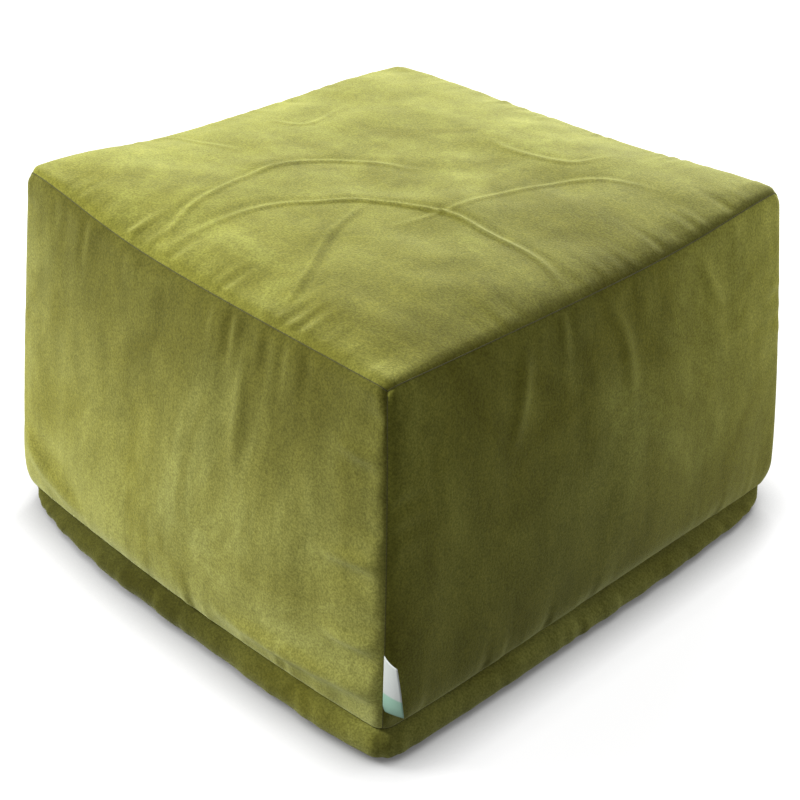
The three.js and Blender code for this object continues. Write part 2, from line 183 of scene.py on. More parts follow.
def mesh_of(name, points, faces, smooth=True):
    mesh = bpy.data.meshes.new(name)
    mesh.from_pydata(np.asarray(points).tolist(), [], np.asarray(faces).tolist())
    mesh.validate()
    mesh.polygons.foreach_set("use_smooth", [smooth] * len(mesh.polygons))
    mesh.update()
    return mesh


def grid_faces(rows, columns, first=0, around=False):
    """Quads between neighbouring rows of points, the last column joined to the first if around."""
    i = np.arange(rows - 1)[:, None]
    j = np.arange(columns if around else columns - 1)[None, :]
    k = (j + 1) % columns
    corners = [i * columns + j, i * columns + k, (i + 1) * columns + k, (i + 1) * columns + j]
    return np.stack(corners, axis=-1).reshape(-1, 4) + first


def turned(points, k):
    """Points turned by k quarter turns about the vertical, front to right to back to left."""
    x, y = points[..., 0], points[..., 1]
    for _ in range(k):
        x, y = -y, x
    return np.stack([x, y, points[..., 2]], axis=-1)


# ---- The form of a sewn bag ----

def pillow(a, b, power=4):
    """1 in the middle of a face and 0 on its edges, a and b running from -1 to 1."""
    return (1 - np.abs(a) ** power) * (1 - np.abs(b) ** power)


class Form:
    """A box-like bag. Its seams lie `seam` inside the cover's, and the middles of its faces
    `middle` inside the cover's."""

    def __init__(self, seam=0.0, middle=0.0, roll=0.0030, low_roll=0.007, detail=1.0):
        self.seam = seam
        self.fill = seam - middle  # how much more its middles stand out from its seams
        self.half = HALF_BASE - seam
        self.top = TOP_SEAM_Z - seam
        self.low = SEAM_Z
        self.floor = middle
        self.roll = roll
        self.low_roll = low_roll
        self.detail = detail
        self.depth = float(self.drop(0))
        self.low_depth = float(self.low_drop(0))
        self.across = ticks(2 * self.half)
        self.upward = ticks(self.top - self.low)

    def drop(self, e, roll=None, reach=ROLL_REACH):
        """How deep the surface lies near a seam, at a distance e from it."""
        roll = self.roll if roll is None else roll
        rolled = roll * np.maximum(0, 1 - np.asarray(e) / reach) ** 2.2
        return rolled + CLEFT * np.exp(-np.asarray(e) / CLEFT_REACH)

    def low_drop(self, e):
        return self.drop(e, self.low_roll, LOW_ROLL_REACH)

    def side(self, name):
        """A side panel's outside, in rows from its bottom seam up."""
        x0, z0 = np.meshgrid(self.across, self.upward)
        a = x0 / self.half - 1
        height = self.upward[-1]
        b = 2 * z0 / height - 1
        ex = np.minimum(x0, 2 * self.half - x0)
        et, eb = height - z0, z0
        open_zip = zip_share(a * self.half) if name == "back" and self.seam == 0 else 0 * a
        low = self.low_drop(eb) * (1 - open_zip)
        up_drop, side_drop = self.drop(et), self.drop(ex)
        fade = np.exp(-ex / CORNER_FADE)
        x = a * (self.half - self.depth) - np.sign(a) * fade * (up_drop + low)
        z = self.low + (self.top - self.depth - self.low) * z0 / height
        z = z - np.exp(-et / CORNER_FADE) * side_drop
        z = z + open_zip * (ZIP_Z + ZIP_SLOT - self.low) * (1 - z0 / height) ** 6
        swell = (SWELL + self.fill) * pillow(a, b)
        out = self.half - up_drop - low - side_drop + swell
        out = out + self.detail * side_folds(name, x, z, ex, et, eb) * (1 - open_zip * (eb < 0.02))
        points = np.stack([x * (1 - SEAM_GAP / self.half), -out + SEAM_GAP, z], axis=-1)
        return settle(turned(points, SIDES.index(name)))

    def lid(self):
        """The top panel's outside, in rows from the front seam to the back."""
        x0, y0 = np.meshgrid(self.across, self.across)
        a, b = x0 / self.half - 1, y0 / self.half - 1
        ex = np.minimum(x0, 2 * self.half - x0)
        ey = np.minimum(y0, 2 * self.half - y0)
        drop_x, drop_y = self.drop(ex), self.drop(ey)
        x = a * (self.half - self.depth) - np.sign(a) * np.exp(-ex / CORNER_FADE) * drop_y
        y = b * (self.half - self.depth) - np.sign(b) * np.exp(-ey / CORNER_FADE) * drop_x
        crown = (CROWN_Z - TOP_SEAM_Z - 0.004 + self.fill) * pillow(a, b, 5)
        z = self.top - drop_x - drop_y + crown + SEAM_GAP
        z = z + self.detail * top_folds(x, y, ex, ey)
        return settle(np.stack([x, y, z], axis=-1))

    def base(self):
        """The bottom panel's outside, bellied out under its seam and flat on the floor."""
        x0, y0 = np.meshgrid(self.across, self.across)
        a, b = x0 / self.half - 1, y0 / self.half - 1
        # Each point belongs to the side it is nearest: t runs along that side from -1 to 1, and e
        # is the cloth's length in from its seam.
        reach = np.maximum(np.maximum(np.abs(a), np.abs(b)), 1e-9)
        on_x = np.abs(a) > np.abs(b)
        t = np.where(on_x, b, a) / reach
        e = (1 - reach) * self.half
        et = (1 - np.abs(t)) * self.half
        along = t * (self.half - self.depth)
        at_zip = zip_share(t * self.half) * (~on_x & (b > 0)) if self.seam == 0 else 0 * t
        low = self.low_depth * (1 - at_zip)
        along = along - np.sign(t) * np.exp(-et / CORNER_FADE) * low
        out = self.half - low - self.drop(et)
        s = np.clip(e / BAND_CLOTH, 0, 1)  # 0 at the seam, 1 where the cloth meets the floor
        belly = BAND * (1 - at_zip) + ZIP_BAND * at_zip
        rounding = 0 * t
        for (at_x, at_y), amount in BAND_CORNERS.items():
            rounding = np.where((np.sign(a) == at_x) & (np.sign(b) == at_y), amount, rounding)
        beside_zip = zip_share(t * self.half, ZIP_HALF - 0.025, 0.050) * (~on_x & (b > 0))
        rounding = rounding * (1 - beside_zip)
        corner = 1 - rounding * np.abs(t) ** 10
        wrinkle = self.detail * band_folds(np.where(on_x, 3, 0) + np.sign(np.where(on_x, a, b)), t)
        swell = belly * np.sin(np.pi * s) * corner * (1 + wrinkle)
        swell = swell - BAND_DRAWN_IN * rounding * s * np.abs(t) ** 8
        flat = np.clip((self.half - e) / (self.half - BAND_CLOTH), 0, 1)
        along = (along + t * swell) * flat
        out = (out + swell) * flat
        mid = (self.low + self.floor) / 2
        z = mid + (self.low - mid) * np.cos(np.pi * s) - SEAM_GAP
        x = np.where(on_x, np.sign(a) * out, along)
        y = np.where(on_x, along, np.sign(b) * out)
        return settle(np.stack([x, y, np.maximum(z, self.floor + 0.0003)], axis=-1))


ZIP_SLOT = 0.007  # from the zip's middle to the edge of its slot
ZIP_HALF = COIL_END + 0.0046  # half the length of the slot


def zip_share(x, half=ZIP_HALF, fade=0.014):
    """1 along the zip's slot, and 0 beyond its ends."""
    past = np.clip((np.abs(x) - half) / fade, 0, 1)
    return 1 - past * past * (3 - 2 * past)


def near_corner(x, y, at_x, at_y, reach_x, reach_y):
    """1 at a corner, fading with the distance from it."""
    away_x = (x - at_x * HALF_BASE) / reach_x
    away_y = (y - at_y * HALF_BASE) / reach_y
    return np.exp(-(away_x**2 + away_y**2))


def settle(points):
    """Gives a square bag the cushion's own shape: its sides bow out and lean in, its base has
    crept, and its corners are pushed, sagged and lifted."""
    x, y, z = points[..., 0], points[..., 1], points[..., 2]
    height = np.clip((z - SEAM_Z) / (TOP_SEAM_Z - SEAM_Z), 0, 1)
    lean = np.clip((z - LEAN_FROM) / (TOP_SEAM_Z - LEAN_FROM), 0, 1) ** LEAN_POWER
    skew = FRONT_SKEW * lean * np.where(y < 0, x / HALF_BASE, 0)

    def factor(across, low_side, high_side, other):
        def pick(by_side):
            return np.where(across > 0, by_side[high_side], by_side[low_side])

        half = (HALF_BASE - pick(BASE_DRAWN_IN)) * (1 - lean) + pick(TOP_HALVES) * lean
        bow = pick(BASE_BOWS) * (1 - height) + pick(TOP_BOWS) * np.sin(np.pi * height / 2)
        return (half + bow * np.clip(1 - (other / HALF_BASE) ** 2, 0, 1)) / HALF_BASE

    creep = BASE_SHIFT * (1 - height) ** 2 * np.where(y > 0, 1 - (y / HALF_BASE) ** 2, 1)
    new_x = x * factor(x, "left", "right", y) - creep
    new_y = y * factor(y, "front", "back", x) + y / HALF_BASE * skew - creep
    for push_x, push_y, reach, at_x, at_y in BASE_PUSHES:
        share = (1 - height) * near_corner(x, y, at_x, at_y, reach, reach)
        new_x, new_y = new_x + share * push_x * at_x, new_y + share * push_y * at_y
    for sag, reach_x, reach_y, at_x, at_y in CORNER_SAGS:
        share = (1 - height) ** 4 * near_corner(x, y, at_x, at_y, reach_x, reach_y)
        z = z - sag * np.minimum(z, SEAM_Z) * share
    for lift, reach, at_x, at_y in CORNER_LIFTS:
        z = z + lift * height**2 * near_corner(x, y, at_x, at_y, reach, reach)
    return np.stack([new_x, new_y, z], axis=-1)


# ---- Folds and puckers ----

def puckers(along, e, seed, height, length=0.014, spacing=0.011):
    """Short gathers square to a seam, at a distance e from it."""
    wave = soft_noise(along / spacing, 0 * along + seed, seed)
    rare = np.clip(soft_noise(along / 0.05, 0 * along + 7.5, seed + 1) + 0.35, 0, 1)
    return height * wave * rare * (e / length) * np.exp(1 - e / length)


def free(e, reach=0.008):
    """0 on a seam, 1 away from it."""
    return 1 - np.exp(-(e / reach) ** 2)


# The long creases of the top panel, as shares of its half width: (height, points).
# The points were listed from the photo and projected onto the top with the fitted camera.
TOP_CREASES = [
    (0.0032, [(-0.17, -0.98), (-0.28, -0.80), (-0.33, -0.57), (-0.36, -0.29), (-0.30, -0.07),
              (-0.18, 0.04), (-0.02, 0.12)]),
    (0.0036, [(-0.18, -0.93), (-0.13, -0.54), (-0.03, -0.37), (0.09, -0.21), (0.33, -0.10),
              (0.55, -0.10), (0.76, -0.10), (0.95, -0.16)]),
    (0.0028, [(0.09, -0.24), (0.18, -0.49), (0.32, -0.71), (0.45, -0.95)]),
    (0.0022, [(0.29, -0.30), (0.33, -0.10), (0.35, 0.11), (0.39, 0.28), (0.45, 0.43),
              (0.55, 0.55), (0.71, 0.60)]),
    (0.0020, [(-0.98, -0.44), (-0.92, -0.32), (-0.78, -0.30), (-0.57, -0.23)]),
    (0.0018, [(-0.75, 0.07), (-0.62, 0.15), (-0.67, 0.39)]),
    (0.0018, [(-0.03, 0.51), (0.13, 0.49), (0.35, 0.55), (0.41, 0.72)]),
    (0.0020, [(0.95, -0.16), (1.0, 0.09), (1.0, 0.19)]),
]


def top_folds(x, y, ex, ey):
    e = np.minimum(ex, ey)
    folds = 0.0035 * soft_noise(x / 0.11, y / 0.11, 3) + 0.0012 * soft_noise(x / 0.045, y / 0.045, 4)
    for height, points in TOP_CREASES:
        folds = folds + crease(x, y, [(u * HALF_BASE, v * HALF_BASE) for u, v in points], 0.85 * height)
    folds = folds * free(e, 0.02)
    folds = folds + puckers(x, ey, 11, 0.0022) + puckers(y, ex, 13, 0.0016)
    return folds * free(e, 0.004)


# Each side's own folds, from its lower left corner: (height, width, points), in metres
SIDE_CREASES = {
    "front": [
        (0.0085, 0.010, [(0.69, 0.050), (0.62, 0.044), (0.53, 0.036), (0.45, 0.030)]),
        (0.0055, 0.007, [(0.69, 0.104), (0.65, 0.098), (0.60, 0.094)]),
        (0.0045, 0.007, [(0.69, 0.195), (0.65, 0.188), (0.59, 0.180)]),
        (0.0035, 0.007, [(0.69, 0.300), (0.65, 0.296), (0.61, 0.297)]),
        (0.0045, 0.012, [(0.01, 0.085), (0.05, 0.050), (0.12, 0.030), (0.18, 0.022)]),
        (0.0030, 0.010, [(0.46, 0.20), (0.462, 0.28), (0.465, 0.34)]),
    ],
    "right": [
        (0.0030, 0.010, [(0.20, 0.36), (0.19, 0.31), (0.17, 0.25)]),
        (0.0030, 0.010, [(0.33, 0.36), (0.36, 0.31), (0.37, 0.24)]),
        (0.0024, 0.009, [(0.50, 0.36), (0.52, 0.32), (0.55, 0.27)]),
    ],
    "back": [
        (0.0030, 0.010, [(0.25, 0.36), (0.24, 0.31), (0.26, 0.25)]),
        (0.0026, 0.009, [(0.60, 0.10), (0.52, 0.07), (0.44, 0.06)]),
    ],
    "left": [
        (0.0030, 0.010, [(0.45, 0.36), (0.44, 0.30), (0.41, 0.26)]),
        (0.0030, 0.009, [(0.66, 0.12), (0.60, 0.09), (0.52, 0.08)]),
    ],
}


def side_folds(name, x, z, ex, et, eb):
    k = SIDES.index(name)
    e = np.minimum(np.minimum(ex, et), eb)
    u, v = x + HALF_BASE, z - SEAM_Z
    folds = 0.0035 * soft_noise(u / 0.13 + k, v / 0.16, 21 + k)
    folds = folds + 0.0016 * soft_noise(u / 0.045, v / 0.13, 25 + k)
    for height, width, points in SIDE_CREASES[name]:
        folds = folds + crease(u, v, points, height, width)
    folds = folds * free(e, 0.016)
    folds = folds + puckers(u, et, 31 + k, 0.0026, 0.016, 0.013)
    folds = folds + puckers(u, eb, 41 + k, 0.0022, 0.012, 0.012)
    folds = folds + puckers(v, ex, 51 + k, 0.0022, 0.012, 0.014)
    return folds * free(e, 0.004)


def band_folds(side, t):
    """The gathers of the bottom panel where it bellies out, as a share of the belly."""
    u = t * HALF_BASE
    return 0.07 * soft_noise(u / 0.012 + 9 * side, 0 * u, 61) + 0.14 * soft_noise(u / 0.09, side, 62)


# ---- Sewn panels ----

def flange(edge, inwards, depth):
    """The allowance turned in along one edge: three more rows of points behind it."""
    run = np.linalg.norm(np.diff(edge, axis=0), axis=1)
    along = np.concatenate([[0], np.cumsum(run)])
    end = np.minimum(along, along[-1] - along)
    reach = depth * np.clip(end / 0.02, 0.02, 1)
    return [edge + inwards * (reach * share)[:, None] for share in (0.2, 0.6, 1)]


def panel_mesh(name, points, edges, depth, flip):
    """A cloth panel: its outside, and along each edge an allowance turned in."""
    rows, columns = points.shape[:2]
    index = np.arange(rows * columns).reshape(rows, columns)
    vertices = [points.reshape(-1, 3)]
    faces = [grid_faces(rows, columns)]
    count = rows * columns
    lines = {"low": index[0], "high": index[-1][::-1], "start": index[::-1, 0], "end": index[:, -1]}
    for key, inwards in edges.items():
        line = lines[key]
        edge = points.reshape(-1, 3)[line]
        previous = line
        for row in flange(edge, np.asarray(inwards, float) / np.linalg.norm(inwards), depth):
            current = count + np.arange(len(line))
            vertices.append(row)
            count += len(line)
            faces.append(np.stack([previous[1:], previous[:-1], current[:-1], current[1:]], axis=-1))
            previous = current
    joined = np.vstack(faces)
    return mesh_of(name, np.vstack(vertices), joined[:, ::-1] if flip else joined)


def thicken(piece, thickness):
    """Gives cloth its thickness, inwards from its outside."""
    solid = piece.modifiers.new("cloth", "SOLIDIFY")
    solid.thickness = thickness
    solid.offset = -1
    bpy.context.view_layer.update()
    evaluated = piece.evaluated_get(bpy.context.evaluated_depsgraph_get())
    mesh = bpy.data.meshes.new_from_object(evaluated)
    piece.modifiers.clear()
    piece.data = mesh
    mesh.polygons.foreach_set("use_smooth", [True] * len(mesh.polygons))


def panel_edges(name):
    """The direction in which each edge's allowance turns in."""
    if name == "top":
        return {"low": (0, 1, -1), "high": (0, -1, -1), "start": (1, 0, -1), "end": (-1, 0, -1)}
    if name == "bottom":
        return {"low": (0, 1, 0), "high": (0, -1, 0), "start": (1, 0, 0), "end": (-1, 0, 0)}
    at_front = {"low": (0, 1, 0), "high": (0, 1, -1), "start": (1, 1, 0), "end": (-1, 1, 0)}
    k = SIDES.index(name)
    return {key: turned(np.array(way, float), k) for key, way in at_front.items()}


def sew(bag, form, cloths, thickness, depth):
    """All six panels of a bag, each in its own cloth. Returns their outsides by name."""
    outsides = {"top": form.lid(), "bottom": form.base()}
    outsides.update({name: form.side(name) for name in SIDES})
    for name, points in outsides.items():
        node = f"{bag}_{name}_panel"
        mesh = panel_mesh(node, points, panel_edges(name), depth, name == "bottom")
        piece = new_object(f"{bag}_{name}_cloth", mesh, cloths[name])
        thicken(piece, thickness)
        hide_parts(node)
    return outsides


# ---- Tubes: threads, coils ----

def tube(points, radius, sides=6, closed=False):
    """A tube's points and faces along a path; radius is one number or one to each point."""
    points = np.asarray(points, float)
    if closed:
        ahead, behind = np.roll(points, -1, axis=0), np.roll(points, 1, axis=0)
    else:
        ahead, behind = np.vstack([points[1:], points[-1:]]), np.vstack([points[:1], points[:-1]])
    tangent = ahead - behind
    tangent /= np.linalg.norm(tangent, axis=1)[:, None]
    up = np.where(np.abs(tangent[:, 2:3]) < 0.8, [[0, 0, 1.0]], [[1.0, 0, 0]])
    first = np.cross(tangent, up)
    first /= np.linalg.norm(first, axis=1)[:, None]
    second = np.cross(tangent, first)
    angle = np.arange(sides) * 2 * np.pi / sides
    radius = np.broadcast_to(np.asarray(radius, float), len(points))
    ring = (first[:, None] * np.cos(angle)[None, :, None]
            + second[:, None] * np.sin(angle)[None, :, None])
    vertices = points[:, None] + ring * radius[:, None, None]
    faces = grid_faces(len(points), sides, around=True)
    if closed:
        last = (len(points) - 1) * sides
        j = np.arange(sides)
        k = (j + 1) % sides
        faces = np.vstack([faces, np.stack([last + j, last + k, k, j], axis=-1)])
    return vertices.reshape(-1, 3), faces


def tube_mesh(name, strands, radius_of, sides=6, closed=False):
    """One mesh of several tubes, the ends of open ones capped."""
    vertices, faces, caps, count = [], [], [], 0
    for strand in strands:
        points, quads = tube(strand, radius_of(strand), sides, closed)
        vertices.append(points)
        faces.append(quads + count)
        if not closed:
            caps.append(list(range(count + sides - 1, count - 1, -1)))
            caps.append(list(range(count + len(points) - sides, count + len(points))))
        count += len(points)
    mesh = bpy.data.meshes.new(name)
    mesh.from_pydata(np.vstack(vertices).tolist(), [], np.vstack(faces).tolist() + caps)
    mesh.polygons.foreach_set("use_smooth", [True] * len(mesh.polygons))
    mesh.update()
    return mesh


STITCH = 0.0035  # the length of one stitch
STITCH_STEPS = 5  # points to a stitch


def rim(panel):
    """The points on a panel's edge, once around."""
    return np.vstack([panel[0, :-1], panel[:-1, -1], panel[-1, :0:-1], panel[:0:-1, 0]])


def resample(points, step):
    run = np.concatenate([[0], np.cumsum(np.linalg.norm(np.diff(points, axis=0), axis=1))])
    places = np.linspace(0, run[-1], max(4, int(run[-1] / step)))
    return np.stack([np.interp(places, run, points[:, k]) for k in range(3)], axis=-1)


def stitched(points):
    """A path resampled finely enough for its thread to swell and dip at each stitch."""
    return resample(points, STITCH / STITCH_STEPS)


def stitch_radius(radius):
    """A thread's radius along its path: full in the middle of each stitch, thin at its ends."""
    def swelling(path):
        run = np.arange(len(path)) / STITCH_STEPS
        return radius * (0.55 + 0.45 * np.abs(np.sin(np.pi * run)) ** 0.5)
    return swelling


def seam_threads(bag, outsides, radius, look):
    """A bag's threads: one round its top, one round its bottom and one up each corner."""
    top, bottom = outsides["top"], outsides["bottom"]

    def loop(panel, aim_below):
        """A panel's edge moved out, away from a point that lies aim_below under its middle."""
        line = rim(panel)
        inwards = np.array([0, 0, line[:, 2].mean() - aim_below]) - line
        if aim_below == 0:
            inwards[:, 2] = 0
        inwards /= np.linalg.norm(inwards, axis=1)[:, None]
        return line - inwards * radius * 0.8

    def add(name, strands, closed):
        mesh = tube_mesh(name, strands, stitch_radius(radius), 6, closed)
        piece = new_object(name.replace("thread", "stitches"), mesh, look)
        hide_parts(name)

    ring = loop(top, 0.2)
    add(f"{bag}_top_seam_thread", [stitched(np.vstack([ring, ring[:1]]))[:-1]], True)
    ring = loop(bottom, 0)
    if bag == "cover":
        keep = ~((ring[:, 1] > 0.9 * HALF_BASE) & (np.abs(ring[:, 0]) < ZIP_HALF + 0.012))
        start = int(np.argmax(~keep))
        ring, keep = np.roll(ring, -start, axis=0), np.roll(keep, -start)
        add(f"{bag}_bottom_seam_thread", [stitched(ring[keep])], False)
    else:
        add(f"{bag}_bottom_seam_thread", [stitched(np.vstack([ring, ring[:1]]))[:-1]], True)
    for k, name in enumerate(SIDES):
        line = outsides[name][3:-3, -1]
        out = line * [1, 1, 0]
        out /= np.linalg.norm(out, axis=1)[:, None]
        follower = SIDES[(k + 1) % 4]
        add(f"{bag}_{name}_{follower}_seam_thread", [stitched(line + out * radius * 0.1)], False)


# ---- Materials ----

def material(name, build):
    made = bpy.data.materials.new(name)
    made.use_nodes = True
    nodes, links = made.node_tree.nodes, made.node_tree.links
    shader = nodes["Principled BSDF"]
    build(nodes, links, shader)
    return made


def feed(links, value, socket):
    """Links a socket's value, or sets a plain one."""
    if isinstance(value, bpy.types.NodeSocket):
        links.new(value, socket)
    else:
        socket.default_value = value


def math_node(nodes, links, operation, first, second):
    made = nodes.new("ShaderNodeMath")
    made.operation = operation
    feed(links, first, made.inputs[0])
    feed(links, second, made.inputs[1])
    return made.outputs["Value"]


def map_range(nodes, links, source, start, end, first=0.0, last=1.0, interpolation="LINEAR"):
    """A value that goes from first to last while the source goes from start to end."""
    spread = nodes.new("ShaderNodeMapRange")
    spread.interpolation_type = interpolation
    for name, value in (("From Min", start), ("From Max", end), ("To Min", first), ("To Max", last)):
        spread.inputs[name].default_value = value
    links.new(source, spread.inputs["Value"])
    return spread.outputs["Result"]


def place_along(nodes, links, axis):
    coordinates = nodes.new("ShaderNodeTexCoord")
    split = nodes.new("ShaderNodeSeparateXYZ")
    links.new(coordinates.outputs["Object"], split.inputs["Vector"])
    return split.outputs[axis]


def wave_node(nodes, links, direction, scale, distortion=0.0):
    coordinates = nodes.new("ShaderNodeTexCoord")
    wave = nodes.new("ShaderNodeTexWave")
    wave.bands_direction = direction
    wave.inputs["Scale"].default_value = scale
    wave.inputs["Distortion"].default_value = distortion
    wave.inputs["Detail"].default_value = 1
    links.new(coordinates.outputs["Object"], wave.inputs["Vector"])
    return wave.outputs["Fac"]


def noise_node(nodes, links, scale, detail=3, stretch=(1, 1, 1), roughness=0.5, distortion=0.0):
    coordinates = nodes.new("ShaderNodeTexCoord")
    mapping = nodes.new("ShaderNodeMapping")
    mapping.inputs["Scale"].default_value = stretch
    noise = nodes.new("ShaderNodeTexNoise")
    noise.inputs["Scale"].default_value = scale
    noise.inputs["Detail"].default_value = detail
    noise.inputs["Roughness"].default_value = roughness
    noise.inputs["Distortion"].default_value = distortion
    links.new(coordinates.outputs["Object"], mapping.inputs["Vector"])
    links.new(mapping.outputs["Vector"], noise.inputs["Vector"])
    return noise.outputs["Fac"]


def ramp_node(nodes, links, source, stops):
    ramp = nodes.new("ShaderNodeValToRGB")
    ramp.color_ramp.interpolation = "EASE"
    ramp.color_ramp.elements[0].position = stops[0][0]
    ramp.color_ramp.elements[0].color = (*stops[0][1], 1)
    ramp.color_ramp.elements[1].position = stops[-1][0]
    ramp.color_ramp.elements[1].color = (*stops[-1][1], 1)
    for position, color in stops[1:-1]:
        ramp.color_ramp.elements.new(position).color = (*color, 1)
    links.new(source, ramp.inputs["Fac"])
    return ramp.outputs["Color"]


def mix_node(nodes, links, share, first, second, blend="MIX"):
    mix = nodes.new("ShaderNodeMix")
    mix.data_type = "RGBA"
    mix.blend_type = blend
    for value, name in ((share, "Factor"), (first, "A"), (second, "B")):
        feed(links, value, mix.inputs[name])
    return mix.outputs["Result"]


def bump_node(nodes, links, height, strength, distance, before=None):
    bump = nodes.new("ShaderNodeBump")
    bump.inputs["Strength"].default_value = strength
    bump.inputs["Distance"].default_value = distance
    links.new(height, bump.inputs["Height"])
    if before is not None:
        links.new(before, bump.inputs["Normal"])
    return bump.outputs["Normal"]


def paint_light_and_shade_along(nodes, links, color, axis, start, first, end, last):
    """Painted light and shade: a colour multiplied by `first` before start and by `last` after end."""
    share = map_range(nodes, links, place_along(nodes, links, axis), start, end, interpolation="SMOOTHSTEP")
    tint = mix_node(nodes, links, share, (*first, 1), (*last, 1))
    return mix_node(nodes, links, 1.0, color, tint, "MULTIPLY")


def velvet_look(nodes, links, shader, tone=1.0, painted_light_ramps=()):
    """Plush velvet: nap brushed this way and that in patches, fine pile, a sheen in the shader and a
    painted sheen in the colour where the cloth is seen edge-on.
    Each entry of the last argument paints light and shade onto the colour along one axis."""
    brushed = noise_node(nodes, links, 4.5, 6, (1, 1, 0.8), 0.6, 1.2)
    streaks = noise_node(nodes, links, 30, 6, (1, 1, 0.5), 0.7, 0.3)
    pile = noise_node(nodes, links, 420, 4, (1, 1, 1), 0.7)
    shades = [(0.34, (0.130, 0.123, 0.011)), (0.5, (0.167, 0.162, 0.020)), (0.66, (0.212, 0.211, 0.032))]
    # A tone below 1 darkens the whole velvet: painted shade, used on the bottom panel.
    shades = [(place, tuple(tone * part for part in shade)) for place, shade in shades]
    nap = ramp_node(nodes, links, brushed, shades)
    soft = ramp_node(nodes, links, streaks, [(0.3, (0.84, 0.84, 0.80)), (0.7, (1.12, 1.12, 1.14))])
    grain = ramp_node(nodes, links, pile, [(0.3, (0.68, 0.68, 0.64)), (0.7, (1.28, 1.28, 1.30))])
    color = mix_node(nodes, links, 1.0, nap, soft, "MULTIPLY")
    color = mix_node(nodes, links, 1.0, color, grain, "MULTIPLY")
    # Painted sheen: the base colour is made paler and brighter where the cloth is seen edge-on.
    grazing = nodes.new("ShaderNodeLayerWeight")
    grazing.inputs["Blend"].default_value = 0.35
    painted_sheen = mix_node(nodes, links, 1.0, color, (2.0, 2.05, 2.9, 1), "MULTIPLY")
    color = mix_node(nodes, links, grazing.outputs["Facing"], color, painted_sheen)
    # Painted light and shade: the colour is brightened and darkened along each given axis.
    for axis, start, first, end, last in painted_light_ramps:
        color = paint_light_and_shade_along(nodes, links, color, axis, start, first, end, last)
    links.new(color, shader.inputs["Base Color"])
    shader.inputs["Roughness"].default_value = 0.9
    shader.inputs["Specular IOR Level"].default_value = 0.1
    shader.inputs["Sheen Weight"].default_value = 0.6 * tone
    shader.inputs["Sheen Roughness"].default_value = 0.4
    shader.inputs["Sheen Tint"].default_value = (0.76, 0.80, 0.42, 1)
    normal = bump_node(nodes, links, pile, 0.5, 0.0012)
    normal = bump_node(nodes, links, streaks, 0.25, 0.0025, normal)
    links.new(normal, shader.inputs["Normal"])


def thread_look(dark, light):
    """Twisted thread: two tones in a fine noise, with a little bump."""
    def build(nodes, links, shader):
        threads = noise_node(nodes, links, 900, 4)
        color = ramp_node(nodes, links, threads, [(0.3, dark), (0.7, light)])
        links.new(color, shader.inputs["Base Color"])
        shader.inputs["Roughness"].default_value = 0.85
        shader.inputs["Sheen Weight"].default_value = 0.1
        links.new(bump_node(nodes, links, threads, 0.4, 0.0004), shader.inputs["Normal"])
    return build


def weave_look(dark, light, scale):
    """A plain weave: two waves crossing, in the cloth's own plane whichever way it faces."""
    def build(nodes, links, shader):
        waves = [wave_node(nodes, links, direction, scale, 0.6) for direction in ("X", "Y", "Z")]
        both = mix_node(nodes, links, 0.5, waves[0], waves[1])
        both = mix_node(nodes, links, 0.4, both, waves[2])
        patchy = noise_node(nodes, links, 30, 3)
        woven = mix_node(nodes, links, 0.35, both, patchy)
        color = ramp_node(nodes, links, woven, [(0.3, dark), (0.7, light)])
        links.new(color, shader.inputs["Base Color"])
        shader.inputs["Roughness"].default_value = 0.85
        links.new(bump_node(nodes, links, both, 0.4, 0.0003), shader.inputs["Normal"])
    return build


def metal_look(nodes, links, shader):
    scratches = noise_node(nodes, links, 700, 3, (0.15, 1, 1))
    color = ramp_node(nodes, links, scratches, [(0.3, (0.52, 0.51, 0.48)), (0.7, (0.66, 0.65, 0.62))])
    links.new(color, shader.inputs["Base Color"])
    shader.inputs["Metallic"].default_value = 1.0
    links.new(map_range(nodes, links, scratches, 0, 1, 0.22, 0.42), shader.inputs["Roughness"])


def coil_look(nodes, links, shader):
    tone = noise_node(nodes, links, 400, 2)
    color = ramp_node(nodes, links, tone, [(0.3, (0.10, 0.105, 0.025)), (0.7, (0.15, 0.155, 0.04))])
    links.new(color, shader.inputs["Base Color"])
    shader.inputs["Roughness"].default_value = 0.4


def ribbon_look(nodes, links, shader):
    """White woven satin with one plain mint stripe across it."""
    height = place_along(nodes, links, "Z")
    foot = LABEL_LOW[2]
    above = map_range(nodes, links, height, foot + 0.012, foot + 0.014)
    below = map_range(nodes, links, height, foot + 0.040, foot + 0.038)
    in_stripe = math_node(nodes, links, "MULTIPLY", above, below)
    weave = wave_node(nodes, links, "Z", 600)
    white = ramp_node(nodes, links, weave, [(0.2, (0.66, 0.70, 0.68)), (0.8, (0.74, 0.78, 0.76))])
    mint = ramp_node(nodes, links, weave, [(0.2, (0.36, 0.62, 0.48)), (0.8, (0.44, 0.70, 0.56))])
    links.new(mix_node(nodes, links, in_stripe, white, mint), shader.inputs["Base Color"])
    shader.inputs["Roughness"].default_value = 0.45
    links.new(bump_node(nodes, links, weave, 0.3, 0.0002), shader.inputs["Normal"])


def wadding_look(nodes, links, shader):
    fluff = noise_node(nodes, links, 120, 6, (1, 1, 1), 0.7)
    color = ramp_node(nodes, links, fluff, [(0.3, (0.72, 0.72, 0.69)), (0.7, (0.83, 0.83, 0.81))])
    links.new(color, shader.inputs["Base Color"])
    shader.inputs["Roughness"].default_value = 1.0
    shader.inputs["Sheen Weight"].default_value = 0.3
    links.new(bump_node(nodes, links, fluff, 0.9, 0.003), shader.inputs["Normal"])


